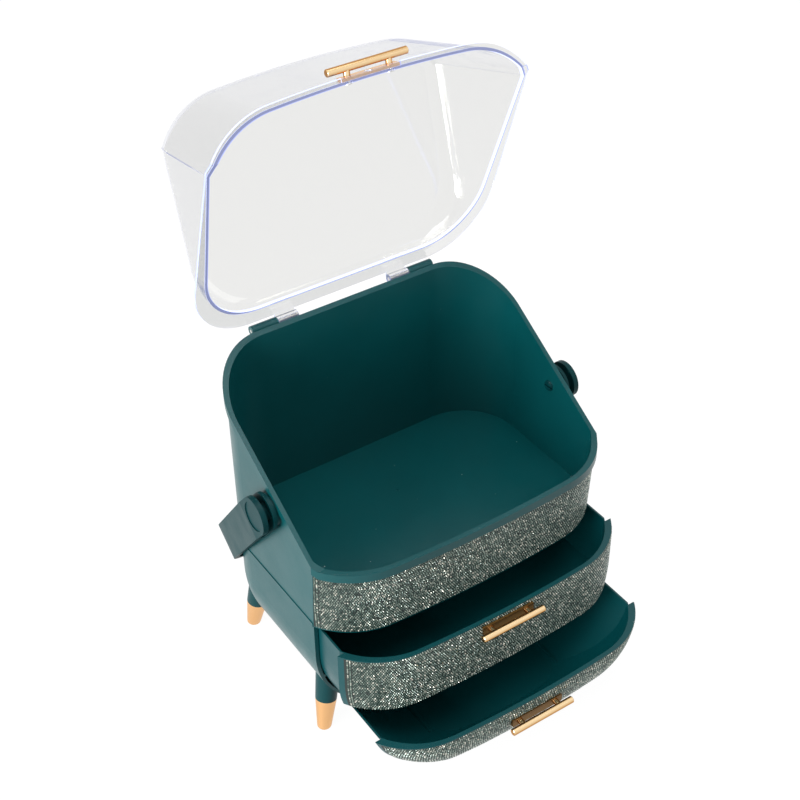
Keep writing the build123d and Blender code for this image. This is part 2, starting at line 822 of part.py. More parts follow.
legs = {}
leg_screws = Part()
for side, sideways in (("left", -1), ("right", 1)):
    for end, foot, splay, length in (
        ("front", (foot_x, front_foot_y, 0), front_splay, leg_length),
        ("back", (back_foot_x, back_foot_y, 0), back_splay, back_leg_length),
    ):
        foot = (sideways * foot[0], foot[1], foot[2])
        splay = (sideways * splay[0], splay[1], splay[2])
        seat = leg_seat(foot, splay)
        screw_hole = leg_screw(seat, screw_gap)
        legs[f"{end}_{side}_leg"] = leg_upper(foot, splay, length) - screw_hole
        legs[f"{end}_{side}_leg_tip"] = leg_tip(foot, splay)
        lower_casing.part -= screw_hole
        leg_screws += leg_screw(seat, 0)

# Screws from under the casing's ledge up into the tub
with BuildPart() as casing_screws:
    with BuildSketch(Plane.XY.offset(seam_height - ledge_thickness)) as heads:
        with Locations((0, tub_screw_y)):
            with GridLocations(tub_screw_spacing, 0, 3, 1):
                Circle(head_radius)
    extrude(amount=-head_height)
    with BuildSketch(Plane.XY.offset(seam_height - ledge_thickness)):
        with Locations((0, tub_screw_y)):
            with GridLocations(tub_screw_spacing, 0, 3, 1):
                Circle(screw_radius)
    extrude(amount=tub_screw_length)

# The pieces as they stand: drawers drawn out, lid open, handle folded back onto the casing
handle_angle = 180 - degrees(
    asin((case_back + handle_rest_gap - pivot_y) / hypot(handle_half, handle_reach)) + atan2(handle_half, handle_reach)
)
still = Pos(0, 0, 0)
upper_out = Pos(0, -upper_pull, 0)
lower_out = Pos(0, -lower_pull, 0)
lid_open = Pos(0, hinge_y, hinge_height) * Rot(-lid_open_angle, 0, 0) * Pos(0, -hinge_y, -hinge_height)
handle_folded = Pos(0, pivot_y, pivot_height) * Rot(-handle_angle, 0, 0)
standing = {name: leg for name, leg in legs.items()}
standing["leg_screws"] = leg_screws
for name, place, piece in (
    ("upper_tub", still, upper_tub),
    ("tub_stone_band", still, tub_stone_band),
    ("lower_casing", still, lower_casing),
    ("casing_screws", still, casing_screws),
    ("upper_drawer", upper_out, upper_drawer),
    ("upper_drawer_stones", upper_out, upper_drawer_stones),
    ("upper_drawer_bar", upper_out, upper_drawer_bar),
    ("upper_drawer_bar_plate", upper_out, upper_drawer_bar_plate),
    ("upper_drawer_bar_screws", upper_out, upper_drawer_bar_screws),
    ("lower_drawer", lower_out, lower_drawer),
    ("lower_drawer_stones", lower_out, lower_drawer_stones),
    ("lower_drawer_bar", lower_out, lower_drawer_bar),
    ("lower_drawer_bar_plate", lower_out, lower_drawer_bar_plate),
    ("lower_drawer_bar_screws", lower_out, lower_drawer_bar_screws),
    ("lid_shell", lid_open, lid_shell),
    ("lid_bar", lid_open, lid_bar),
    ("lid_bar_plate", lid_open, lid_bar_plate),
    ("lid_bar_screws", lid_open, lid_bar_screws),
    ("left_hinge_pin", still, hinge_pins[0]),
    ("right_hinge_pin", still, hinge_pins[1]),
    ("carry_handle", handle_folded, carry_handle),
    ("left_handle_pin", still, handle_pins[0]),
    ("right_handle_pin", still, handle_pins[1]),
):
    standing[name] = place * piece.part

# The origin is on the ground under the middle of the whole
reaches = [piece.bounding_box() for piece in standing.values()]
middle = (min(box.min.Y for box in reaches) + max(box.max.Y for box in reaches)) / 2
for name, piece in standing.items():
    piece = Pos(0, -middle, 0) * piece
    piece.label = name
    export_step(piece, f"parts/{name}.step")
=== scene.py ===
import bpy
import random
from math import cos, pi, radians, sin, tau
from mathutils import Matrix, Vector
from mathutils.bvhtree import BVHTree


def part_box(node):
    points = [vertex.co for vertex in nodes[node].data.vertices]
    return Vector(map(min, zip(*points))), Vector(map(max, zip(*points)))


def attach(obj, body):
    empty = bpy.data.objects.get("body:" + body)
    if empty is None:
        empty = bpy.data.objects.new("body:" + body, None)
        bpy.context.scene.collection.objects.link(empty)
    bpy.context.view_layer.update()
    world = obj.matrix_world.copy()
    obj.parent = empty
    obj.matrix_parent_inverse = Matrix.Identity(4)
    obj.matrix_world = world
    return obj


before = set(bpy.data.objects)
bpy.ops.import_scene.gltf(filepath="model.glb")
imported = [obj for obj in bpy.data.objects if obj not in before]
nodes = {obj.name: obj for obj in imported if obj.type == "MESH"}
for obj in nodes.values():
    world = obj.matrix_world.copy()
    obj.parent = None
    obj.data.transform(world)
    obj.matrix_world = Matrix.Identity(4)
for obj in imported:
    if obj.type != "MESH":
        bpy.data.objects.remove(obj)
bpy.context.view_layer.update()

# Makeup organizer: a teal tub with a clear lid over a casing with two stone-clad drawers.
# Metres, Z up, the front faces -Y.

MM = 0.001


# Shader nodes -----------------------------------------------------------------------

# Noise patterns: scale, detail, roughness.
CLOUDS = (14.0, 3.0, 0.5)
HAND_SMEARS = (38.0, 4.0, 0.6)
MOULD_GRAIN = (1500.0, 2.0, 0.5)
DRAWN_LINES = (1.0, 3.0, 0.6)
METAL_SHADES = (90.0, 2.0, 0.5)
SHEET_SMEARS = (22.0, 3.0, 0.5)
SHEET_RIPPLES = (30.0, 2.0, 0.5)
BAND_WEAVE = (700.0, 2.0, 0.5)

# The part of each pattern, distance or direction over which its effect grows.
CLOUD_SPAN = (0.35, 0.65)
HAND_SMEAR_SPAN = (0.4, 0.7)
SHEET_SMEAR_SPAN = (0.35, 0.7)
METAL_SPAN = (0.3, 0.7)
SPECK_EDGE = (0.03, 0.06)
DUST_SLOPES = (0.2, 0.9)
RIM_SLOPES = (0.35, 0.7)
FLANK_TURN = (0.06, 0.42)
BAND_TOP_SLOPES = (0.7, 0.9)

RISING = (0.0, 1.0)
FALLING = (1.0, 0.0)
UPRIGHT_DUST = 0.12
LINE_STRETCH = (60.0, 2600.0, 2600.0)


def feed(links, socket, given):
    """Links another node's output to a socket, or sets the socket to a plain value."""
    if isinstance(given, bpy.types.NodeSocket):
        links.new(given, socket)
    else:
        socket.default_value = given


def new_group(name, inputs, outputs):
    """An empty shader group with named sockets: (name, kind, default) in, (name, kind) out."""
    group = bpy.data.node_groups.new(name, "ShaderNodeTree")
    for label, kind, value in inputs:
        socket = group.interface.new_socket(label, in_out="INPUT", socket_type=kind)
        socket.default_value = value
    for label, kind in outputs:
        group.interface.new_socket(label, in_out="OUTPUT", socket_type=kind)
    tree = group.nodes
    return group, tree, group.links, tree.new("NodeGroupInput"), tree.new("NodeGroupOutput")


def object_coordinates(tree):
    return tree.new("ShaderNodeTexCoord").outputs["Object"]


def noise(tree, links, coordinates, pattern):
    texture = tree.new("ShaderNodeTexNoise")
    for label, value in zip(("Scale", "Detail", "Roughness"), pattern):
        texture.inputs[label].default_value = value
    links.new(coordinates, texture.inputs["Vector"])
    return texture.outputs["Fac"]


def remap(tree, links, value, span, reach):
    """Maps span onto reach, clamped; each end may be a number or a socket."""
    node = tree.new("ShaderNodeMapRange")
    labels = ("Value", "From Min", "From Max", "To Min", "To Max")
    for label, given in zip(labels, (value, *span, *reach)):
        feed(links, node.inputs[label], given)
    return node.outputs["Result"]


def calculate(tree, links, operation, first, second):
    node = tree.new("ShaderNodeMath")
    node.operation = operation
    feed(links, node.inputs[0], first)
    feed(links, node.inputs[1], second)
    return node.outputs["Value"]


def blend_colours(tree, links, factor, first, second):
    node = tree.new("ShaderNodeMix")
    node.data_type = "RGBA"
    sockets = {socket.identifier: socket for socket in node.inputs}
    feed(links, sockets["Factor_Float"], factor)
    feed(links, sockets["A_Color"], first)
    feed(links, sockets["B_Color"], second)
    return next(s for s in node.outputs if s.identifier == "Result_Color")


def upward_part(tree, links, direction):
    """The Z part of a direction."""
    parts = tree.new("ShaderNodeSeparateXYZ")
    links.new(direction, parts.inputs["Vector"])
    return parts.outputs["Z"]


def along(tree, links, vector, direction):
    """How far a vector reaches in a direction."""
    node = tree.new("ShaderNodeVectorMath")
    node.operation = "DOT_PRODUCT"
    links.new(vector, node.inputs[0])
    node.inputs[1].default_value = direction
    return node.outputs["Value"]


def moulded_surface_group():
    """Injection-moulded plastic: faint cloudiness, a fine spark-eroded grain and hand smears."""
    group, tree, links, given, result = new_group(
        "moulded surface",
        [("Colour", "NodeSocketColor", (0.5, 0.5, 0.5, 1.0)),
         ("Cloudiness", "NodeSocketFloat", 0.06),
         ("Roughness", "NodeSocketFloat", 0.35),
         ("Haze", "NodeSocketFloat", 0.06)],
        [("Colour", "NodeSocketColor"),
         ("Roughness", "NodeSocketFloat"),
         ("Height", "NodeSocketFloat")])
    place = object_coordinates(tree)
    cloudiness = given.outputs["Cloudiness"]
    level = remap(tree, links, noise(tree, links, place, CLOUDS), CLOUD_SPAN,
                  (calculate(tree, links, "SUBTRACT", 1.0, cloudiness),
                   calculate(tree, links, "ADD", 1.0, cloudiness)))
    colour = tree.new("ShaderNodeVectorMath")
    colour.operation = "SCALE"
    links.new(given.outputs["Colour"], colour.inputs[0])
    links.new(level, colour.inputs["Scale"])
    links.new(colour.outputs["Vector"], result.inputs["Colour"])
    smear = remap(tree, links, noise(tree, links, place, HAND_SMEARS), HAND_SMEAR_SPAN,
                  (0.0, given.outputs["Haze"]))
    links.new(calculate(tree, links, "ADD", given.outputs["Roughness"], smear),
              result.inputs["Roughness"])
    links.new(noise(tree, links, place, MOULD_GRAIN), result.inputs["Height"])
    return group


def dust_group():
    """Sparse pale specks of settled dust, most of them on what faces up."""
    group, tree, links, given, result = new_group(
        "settled dust",
        [("Spacing", "NodeSocketFloat", 160.0), ("Amount", "NodeSocketFloat", 0.3)],
        [("Mask", "NodeSocketFloat")])
    cells = tree.new("ShaderNodeTexVoronoi")
    links.new(object_coordinates(tree), cells.inputs["Vector"])
    links.new(given.outputs["Spacing"], cells.inputs["Scale"])
    speck = remap(tree, links, cells.outputs["Distance"], SPECK_EDGE, FALLING)
    chance = tree.new("ShaderNodeSeparateColor")
    links.new(cells.outputs["Color"], chance.inputs["Color"])
    chosen = calculate(tree, links, "LESS_THAN", chance.outputs["Red"], given.outputs["Amount"])
    normal = tree.new("ShaderNodeNewGeometry").outputs["Normal"]
    upward = remap(tree, links, upward_part(tree, links, normal), DUST_SLOPES,
                   (UPRIGHT_DUST, 1.0))
    kept = calculate(tree, links, "MULTIPLY", speck, chosen)
    links.new(calculate(tree, links, "MULTIPLY", kept, upward), result.inputs["Mask"])
    return group


def brushed_group():
    """Fine drawn lines along X, as polishing leaves them on a metal bar."""
    group, tree, links, given, result = new_group(
        "brushed lines",
        [("Roughness", "NodeSocketFloat", 0.2), ("Spread", "NodeSocketFloat", 0.1)],
        [("Roughness", "NodeSocketFloat"), ("Height", "NodeSocketFloat")])
    stretch = tree.new("ShaderNodeMapping")
    stretch.inputs["Scale"].default_value = LINE_STRETCH
    links.new(object_coordinates(tree), stretch.inputs["Vector"])
    lines = noise(tree, links, stretch.outputs["Vector"], DRAWN_LINES)
    spread = remap(tree, links, lines, METAL_SPAN, (0.0, given.outputs["Spread"]))
    links.new(calculate(tree, links, "ADD", given.outputs["Roughness"], spread),
              result.inputs["Roughness"])
    links.new(lines, result.inputs["Height"])
    return group


# The lid's flat flange has a slanted stretch and a level one. The heights of their undersides
# are measured square to them from the hinge's axis.
LID_OPEN = radians(103.5)
HINGE = Vector((0.0, 114.39 * MM, 305.5 * MM))
RIM_SLANT = radians(31.86)
SLANTED_RIM_HEIGHT = 4.8 * MM
LEVEL_RIM_HEIGHT = -101.7 * MM
RIM_THICKNESS = 3.0 * MM
RIM_MARGIN = 0.3 * MM


def opened_rim(slant, height):
    """Normal and height of a flat stretch of the rim's underside, as the open lid holds it."""
    tilt = slant - LID_OPEN
    normal = Vector((0.0, -sin(tilt), cos(tilt)))
    return normal, normal.dot(HINGE) + height


RIM_STRETCHES = (opened_rim(RIM_SLANT, SLANTED_RIM_HEIGHT), opened_rim(0.0, LEVEL_RIM_HEIGHT))


def rim_edge_group():
    """The cut edges of the lid's flat flange, where a painted violet glow stands in for light that
    runs inside the sheet and comes out.
    """
    group, tree, links, given, result = new_group(
        "lid rim edge",
        [("Thickness", "NodeSocketFloat", RIM_THICKNESS)],
        [("Mask", "NodeSocketFloat")])
    coordinates = tree.new("ShaderNodeTexCoord")
    mask = 0.0
    for normal, height in RIM_STRETCHES:
        reach = along(tree, links, coordinates.outputs["Object"], normal)
        above = calculate(tree, links, "SUBTRACT", reach, height)
        inside = calculate(tree, links, "MULTIPLY",
                           calculate(tree, links, "GREATER_THAN", above, -RIM_MARGIN),
                           calculate(tree, links, "LESS_THAN", above, given.outputs["Thickness"]))
        slope = along(tree, links, coordinates.outputs["Normal"], normal)
        upright = remap(tree, links, calculate(tree, links, "ABSOLUTE", slope, 0.0), RIM_SLOPES,
                        FALLING)
        edge = calculate(tree, links, "MULTIPLY", inside, upright)
        mask = calculate(tree, links, "MAXIMUM", mask, edge)
    links.new(mask, result.inputs["Mask"])
    return group


MOULDED = moulded_surface_group()
DUST = dust_group()
BRUSHED = brushed_group()
RIM_EDGE = rim_edge_group()


# Materials --------------------------------------------------------------------------

BLACK = (0.0, 0.0, 0.0, 1.0)
WHITE = (1.0, 1.0, 1.0, 1.0)
DUST_COLOUR = (0.5, 0.56, 0.55, 1.0)
BODY_TEAL = (0.0008, 0.064, 0.070, 1.0)
TRAY_TEAL = (0.0006, 0.056, 0.063, 1.0)
# Painted shade: the handle is the body's teal, darkened as if in shadow.
HANDLE_TEAL_PAINTED_SHADE = (0.0006, 0.034, 0.038, 1.0)
LEG_TEAL = (0.0008, 0.045, 0.05, 1.0)
LIGHT_GOLD = (0.98, 0.76, 0.46, 1.0)
# Painted shade that the gold bar's flanks take where they turn away from the viewer.
GOLD_FLANK_PAINTED_SHADE = (0.50, 0.24, 0.06, 1.0)
PEACH_GOLD = (0.86, 0.56, 0.30, 1.0)
# Painted shade: the drawers' bar plates are gold darkened to brown as if in their bars' shadow.
PLATE_GOLD_IN_PAINTED_SHADE = (0.17, 0.095, 0.03, 1.0)
TIP_GOLD = (0.80, 0.47, 0.22, 1.0)
STEEL = (0.62, 0.62, 0.60, 1.0)
# The clear sheet's grey: partly its own tint and partly painted shade, lighter where the sheet
# turns away from the viewer.
SHEET_FACING_TINT_AND_SHADE = (0.752, 0.746, 0.695, 1.0)
SHEET_TURNED_TINT_AND_SHADE = (0.83, 0.825, 0.785, 1.0)
# Painted light: the violet of the rim's cut edges, and glows that make the sheet shine though it
# is no lamp.
SHEET_EDGE_PAINTED_LIGHT = (0.5, 0.55, 0.88, 1.0)
SHEET_PAINTED_GLOW = (0.052, 0.059, 0.108, 1.0)
EDGE_PAINTED_GLOW = (0.34, 0.39, 0.74, 1.0)
BAND_DARK = (0.002, 0.007, 0.006, 1.0)
BAND_LIGHT = (0.008, 0.018, 0.015, 1.0)
BAND_TOP = (0.72, 0.52, 0.30, 1.0)

# The stones' colours from the darkest to the brightest: their own greens, with a painted glint at
# the brightest end.
STONE_TINTS_AND_GLINTS = ((0.0, (0.006, 0.02, 0.017, 1.0)),
                (0.2, (0.03, 0.075, 0.06, 1.0)),
                (0.5, (0.12, 0.185, 0.15, 1.0)),
                (0.8, (0.29, 0.345, 0.29, 1.0)),
                (1.0, (0.72, 0.70, 0.60, 1.0)))

PLASTIC_IOR = 1.5
PLASTIC_HAZE = 0.07
DUST_SPACING = 120.0
GRAIN_STRENGTH = 0.35
METAL_DEEPENING = (0.92, 0.84, 0.72, 1.0)
METAL_VARIATION = (0.0, 0.22)
METAL_BLEND = 0.5
LINE_STRENGTH = 0.25
SHEET_BLEND = 0.35
SHEET_ROUGHNESS = (0.02, 0.06)
RIPPLE_DEPTH = 0.6 * MM
RIPPLE_STRENGTH = 0.15
BAND_ROUGHNESS = 0.6
WEAVE_DEPTH = 0.2 * MM
WEAVE_STRENGTH = 0.4


def new_material(name):
    material = bpy.data.materials.new(name)
    material.use_nodes = True
    tree = material.node_tree.nodes
    return material, tree, material.node_tree.links, tree["Principled BSDF"]


def place_group(tree, group, **values):
    node = tree.new("ShaderNodeGroup")
    node.node_tree = group
    for label, value in values.items():
        node.inputs[label].default_value = value
    return node


def facing_away(tree, blend):
    """0 where a surface faces the viewer, 1 where it turns away."""
    weight = tree.new("ShaderNodeLayerWeight")
    weight.inputs["Blend"].default_value = blend
    return weight.outputs["Facing"]


def add_bump(tree, links, shader, height, depth, strength):
    bump = tree.new("ShaderNodeBump")
    bump.inputs["Strength"].default_value = strength
    bump.inputs["Distance"].default_value = depth
    links.new(height, bump.inputs["Height"])
    links.new(bump.outputs["Normal"], shader.inputs["Normal"])


def moulded_plastic(name, colour, roughness, cloudiness, grain_depth, dust, shine):
    """Opaque moulded plastic; dust is the share of specks kept, shine its specular level."""
    material, tree, links, shader = new_material(name)
    surface = place_group(tree, MOULDED, Colour=colour, Cloudiness=cloudiness,
                          Roughness=roughness, Haze=PLASTIC_HAZE)
    specks = place_group(tree, DUST, Spacing=DUST_SPACING, Amount=dust)
    links.new(blend_colours(tree, links, specks.outputs["Mask"], surface.outputs["Colour"],
                            DUST_COLOUR),
              shader.inputs["Base Color"])
    links.new(surface.outputs["Roughness"], shader.inputs["Roughness"])
    shader.inputs["IOR"].default_value = PLASTIC_IOR
    shader.inputs["Specular IOR Level"].default_value = shine
    add_bump(tree, links, shader, surface.outputs["Height"], grain_depth, GRAIN_STRENGTH)
    return material


def brushed_metal(name, colour, roughness, spread, line_depth, flank=None):
    """Polished or satin metal; the flank colour, when given, is painted shade on the sides that
    turn away from the viewer.
    """
    material, tree, links, shader = new_material(name)
    surface = place_group(tree, BRUSHED, Roughness=roughness, Spread=spread)
    shade = remap(tree, links, noise(tree, links, object_coordinates(tree), METAL_SHADES),
                  METAL_SPAN, METAL_VARIATION)
    deeper = tuple(channel * share for channel, share in zip(colour, METAL_DEEPENING))
    shown = blend_colours(tree, links, shade, colour, deeper)
    # Painted shade: the flank colour takes over where the surface turns away from the viewer.
    if flank:
        flank_shade = remap(tree, links, facing_away(tree, METAL_BLEND), FLANK_TURN, RISING)
        shown = blend_colours(tree, links, flank_shade, shown, flank)
    links.new(shown, shader.inputs["Base Color"])
    shader.inputs["Metallic"].default_value = 1.0
    links.new(surface.outputs["Roughness"], shader.inputs["Roughness"])
    add_bump(tree, links, shader, surface.outputs["Height"], line_depth, LINE_STRENGTH)
    return material


def clear_lid_plastic():
    """Clear moulded styrene, grey partly of its own and partly as painted shade; a painted violet
    glow along the rim's edges stands in for the light that gathers there, and a faint painted glow
    lights its inner faces.
    """
    material, tree, links, shader = new_material("clear lid plastic")
    # The sheet's grey, partly painted shade.
    sheet = blend_colours(tree, links, facing_away(tree, SHEET_BLEND), SHEET_FACING_TINT_AND_SHADE, SHEET_TURNED_TINT_AND_SHADE)
    edge = place_group(tree, RIM_EDGE, Thickness=RIM_THICKNESS).outputs["Mask"]
    links.new(blend_colours(tree, links, edge, sheet, SHEET_EDGE_PAINTED_LIGHT), shader.inputs["Base Color"])
    inside = tree.new("ShaderNodeNewGeometry").outputs["Backfacing"]
    # Painted glow on the sheet's inner faces, and a stronger violet one on the rim's cut edges.
    painted_glow = blend_colours(tree, links, inside, BLACK, SHEET_PAINTED_GLOW)
    links.new(blend_colours(tree, links, edge, painted_glow, EDGE_PAINTED_GLOW),
              shader.inputs["Emission Color"])
    shader.inputs["Emission Strength"].default_value = 1.0
    smear = noise(tree, links, object_coordinates(tree), SHEET_SMEARS)
    links.new(remap(tree, links, smear, SHEET_SMEAR_SPAN, SHEET_ROUGHNESS),
              shader.inputs["Roughness"])
    shader.inputs["IOR"].default_value = PLASTIC_IOR
    shader.inputs["Transmission Weight"].default_value = 1.0
    ripple = noise(tree, links, object_coordinates(tree), SHEET_RIPPLES)
    add_bump(tree, links, shader, ripple, RIPPLE_DEPTH, RIPPLE_STRENGTH)
    return material


def stone_backing():
    """The band that the stones sit on: dark between them, tan along its cut top edge."""
    material, tree, links, shader = new_material("stone backing")
    weave = noise(tree, links, object_coordinates(tree), BAND_WEAVE)
    ground = blend_colours(tree, links, weave, BAND_DARK, BAND_LIGHT)
    normal = tree.new("ShaderNodeTexCoord").outputs["Normal"]
    top = remap(tree, links, upward_part(tree, links, normal), BAND_TOP_SLOPES, RISING)
    links.new(blend_colours(tree, links, top, ground, BAND_TOP), shader.inputs["Base Color"])
    shader.inputs["Roughness"].default_value = BAND_ROUGHNESS
    add_bump(tree, links, shader, weave, WEAVE_DEPTH, WEAVE_STRENGTH)
    return material


def cut_stones():
    """Small foiled stones; each takes its colour from a value kept on its faces, and the brightest
    of them carry a painted glint.
    """
    material, tree, links, shader = new_material("cut stones")
    tint_and_glint = tree.new("ShaderNodeAttribute")
    tint_and_glint.attribute_name = "tint_and_glint"
    shades = tree.new("ShaderNodeValToRGB")
    ramp = shades.color_ramp
    (_, darkest), *between, (_, brightest) = STONE_TINTS_AND_GLINTS
    ramp.elements[0].color = darkest
    ramp.elements[1].color = brightest
    for position, colour in between:
        ramp.elements.new(position).color = colour
    links.new(tint_and_glint.outputs["Fac"], shades.inputs["Fac"])
    links.new(shades.outputs["Color"], shader.inputs["Base Color"])
    for label, value in (("Metallic", 0.35), ("Roughness", 0.12), ("IOR", 1.6),
                         ("Coat Weight", 0.6), ("Coat Roughness", 0.05)):
        shader.inputs[label].default_value = value
    return material


teal_body = moulded_plastic("teal moulded plastic", BODY_TEAL, roughness=0.3, cloudiness=0.05,
                            grain_depth=0.08 * MM, dust=0.10, shine=0.3)
teal_tray = moulded_plastic("teal drawer plastic", TRAY_TEAL, roughness=0.33, cloudiness=0.06,
                            grain_depth=0.08 * MM, dust=0.08, shine=0.3)
# The handle's plastic carries painted shade.
shaded_teal_handle = moulded_plastic("teal handle plastic", HANDLE_TEAL_PAINTED_SHADE, roughness=0.4, cloudiness=0.05,
                              grain_depth=0.12 * MM, dust=0.05, shine=0.12)
teal_leg = moulded_plastic("teal leg plastic", LEG_TEAL, roughness=0.36, cloudiness=0.05,
                           grain_depth=0.08 * MM, dust=0.05, shine=0.2)
# The polished gold bar carries painted shade along its flanks.
gold_bar = brushed_metal("polished gold bar", LIGHT_GOLD, roughness=0.12, spread=0.10,
                         line_depth=0.02 * MM, flank=GOLD_FLANK_PAINTED_SHADE)
gold_plate = brushed_metal("satin gold plate", PEACH_GOLD, roughness=0.32, spread=0.12,
                           line_depth=0.04 * MM)
# The drawers' bar plates: gold in painted shade.
shaded_gold_plate = brushed_metal("gold plate in painted shade", PLATE_GOLD_IN_PAINTED_SHADE, roughness=0.4, spread=0.12,
                             line_depth=0.04 * MM)
gold_tip = brushed_metal("satin gold leg tip", TIP_GOLD, roughness=0.34, spread=0.12,
                         line_depth=0.03 * MM)
screw_steel = brushed_metal("bright screw steel", STEEL, roughness=0.25, spread=0.15,
                            line_depth=0.03 * MM)
lid_plastic = clear_lid_plastic()
backing = stone_backing()
stones = cut_stones()


def finish_for(name):
    """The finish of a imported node, by what the node is."""
    if name == "lid_shell":
        return lid_plastic
    if "stone" in name:
        return backing
    if name.endswith("_bar"):
        return gold_bar
    if name.endswith("_bar_plate"):
        # The drawers' plates get the gold darkened as painted shade.
        return gold_plate if name.startswith("lid") else shaded_gold_plate
    if name.endswith("_tip"):
        return gold_tip
    if name.endswith("_screws") or "hinge_pin" in name:
        return screw_steel
    if name.endswith("_drawer"):
        return teal_tray
    if "handle" in name:
        return shaded_teal_handle
    if name.endswith("_leg"):
        return teal_leg
    return teal_body


for name, node in nodes.items():
    node.data.materials.clear()
    node.data.materials.append(finish_for(name))


# Stones -----------------------------------------------------------------------------

STONE_PITCH = 2.1 * MM
ROW_PITCH = 1.7 * MM
STONE_RADIUS = 0.84 * MM
RADIUS_SPREAD = (0.92, 1.04)
TABLE_SHARE = 0.55
CROWN_HEIGHT = 0.5 * MM
STONE_SIDES = 6
STONE_TILT = 0.10
STONE_SINK = 0.02 * MM
TINT_BALANCE = (1.6, 1.5)
EDGE_COLUMNS = 2

# Rays that find a panel's face.
PROFILE_STEPS = 400
PROFILE_OFFSET = 20 * MM
PROFILE_START = 50 * MM
PROFILE_FLATTEST = 0.95
SWEEP_STEP = radians(0.2)
SWEEP_START = 450 * MM
SWEEP_DEPTH = 1 * MM
SWEEP_FACING = 0.4
SHORTEST_ROW = 10
BACKWARD = 0.3
LEAST_LENGTH = 1e-9


def evenly(points, pitch):
    """Points every pitch or so along a polyline, the first and last half a pitch from its ends."""
    lengths = [0.0]
    for before, after in zip(points, points[1:]):
        lengths.append(lengths[-1] + (after - before).length)
    used = lengths[-1] - pitch
    count = max(int(used / pitch + 0.5), 1)
    step = used / count
    placed = []
    index = 0
    for number in range(count + 1):
        target = pitch / 2 + number * step
        while index < len(lengths) - 2 and lengths[index + 1] < target:
            index += 1
        length = max(lengths[index + 1] - lengths[index], LEAST_LENGTH)
        share = min(max((target - lengths[index]) / length, 0.0), 1.0)
        placed.append(points[index].lerp(points[index + 1], share))
    return placed


def row_heights(tree, low, high):
    """Heights of the rows, evenly spaced along the panel's front near its middle."""
    profile = []
    for number in range(PROFILE_STEPS + 1):
        height = low.z + (high.z - low.z) * (number + 0.5) / (PROFILE_STEPS + 1)
        start = Vector((PROFILE_OFFSET, low.y - PROFILE_START, height))
        hit, normal, _, _ = tree.ray_cast(start, Vector((0, 1, 0)))
        if hit and abs(normal.z) < PROFILE_FLATTEST and normal.y < 0:
            profile.append(hit)
    return [point.z for point in evenly(profile, ROW_PITCH)]


def row_line(tree, centre, height):
    """Points across the panel's face at one height, from left to right."""
    line = []
    angle = -pi / 2 + SWEEP_STEP
    while angle < pi / 2:
        outward = Vector((sin(angle), -cos(angle), 0))
        start = Vector((0, centre, height)) + outward * SWEEP_START
        hit, normal, _, _ = tree.ray_cast(start, -outward, SWEEP_START)
        if hit and normal.dot(outward) > SWEEP_FACING:
            line.append(hit)
        angle += SWEEP_STEP
    return line


def row_places(line, staggered):
    """Places of a row's stones; a staggered row is half a pitch aside but for its end columns."""
    places = evenly(line, STONE_PITCH)
    if not staggered:
        return places
    last_inner = len(places) - EDGE_COLUMNS - 1
    kept = []
    for column, place in enumerate(places):
        if EDGE_COLUMNS <= column < last_inner:
            kept.append(place.lerp(places[column + 1], 0.5))
        elif column != last_inner:
            kept.append(place)
    return kept


def add_stone(points, faces, tints_and_glints, place, normal, chance, tint_and_glint):
    """One stone: a girdle on the panel, crown facets and a flat table."""
    across = normal.cross(Vector((0, 0, 1))).normalized()
    up = across.cross(normal)
    tilt = Vector((chance.uniform(-1, 1), chance.uniform(-1, 1))) * STONE_TILT
    axis = (normal + across * tilt.x + up * tilt.y).normalized()
    across = (across - axis * across.dot(axis)).normalized()
    up = across.cross(axis)
    radius = STONE_RADIUS * chance.uniform(*RADIUS_SPREAD)
    turn = chance.uniform(0, tau / STONE_SIDES)
    first = len(points)
    for level, share in ((0.0, 1.0), (CROWN_HEIGHT, TABLE_SHARE)):
        for side in range(STONE_SIDES):
            angle = turn + tau * side / STONE_SIDES
            points.append(place + axis * level
                          + (across * cos(angle) + up * sin(angle)) * radius * share)
    for side in range(STONE_SIDES):
        after = (side + 1) % STONE_SIDES
        faces.append((first + side, first + after,
                      first + STONE_SIDES + after, first + STONE_SIDES + side))
    faces.append(tuple(first + STONE_SIDES + side for side in range(STONE_SIDES)))
    tints_and_glints.extend([tint_and_glint] * (STONE_SIDES + 1))


def stone_face(name, node_name, body, seed):
    """Rows of stones over one packed panel, riding with it."""
    chance = random.Random(seed)
    mesh = nodes[node_name].data
    tree = BVHTree.FromPolygons([v.co for v in mesh.vertices],
                                [tuple(p.vertices) for p in mesh.polygons])
    low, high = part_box(node_name)
    points, faces, tints_and_glints = [], [], []
    for row, height in enumerate(row_heights(tree, low, high)):
        line = row_line(tree, high.y - SWEEP_DEPTH, height)
        if len(line) < SHORTEST_ROW:
            continue
        for place in row_places(line, staggered=row % 2):
            found, normal, _, _ = tree.find_nearest(place)
            if normal.y > BACKWARD:
                continue
            # Each stone's place on the colour ramp, whose brightest end is a painted glint.
            tint_and_glint = chance.betavariate(*TINT_BALANCE)
            add_stone(points, faces, tints_and_glints, found - normal * STONE_SINK, normal, chance, tint_and_glint)
    stone_mesh = bpy.data.meshes.new(name)
    stone_mesh.from_pydata(points, [], faces)
    tint_layer = stone_mesh.attributes.new("tint_and_glint", "FLOAT", "FACE")
    tint_layer.data.foreach_set("value", tints_and_glints)
    stone_mesh.materials.append(stones)
    piece = bpy.data.objects.new(name, stone_mesh)
    bpy.context.collection.objects.link(piece)
    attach(piece, body)


stone_face("tub_stone_rows", "tub_stone_band", "base", seed=11)
stone_face("upper_drawer_stone_rows", "upper_drawer_stones", "upper_drawer", seed=23)
stone_face("lower_drawer_stone_rows", "lower_drawer_stones", "lower_drawer", seed=37)


# Studio -----------------------------------------------------------------------------

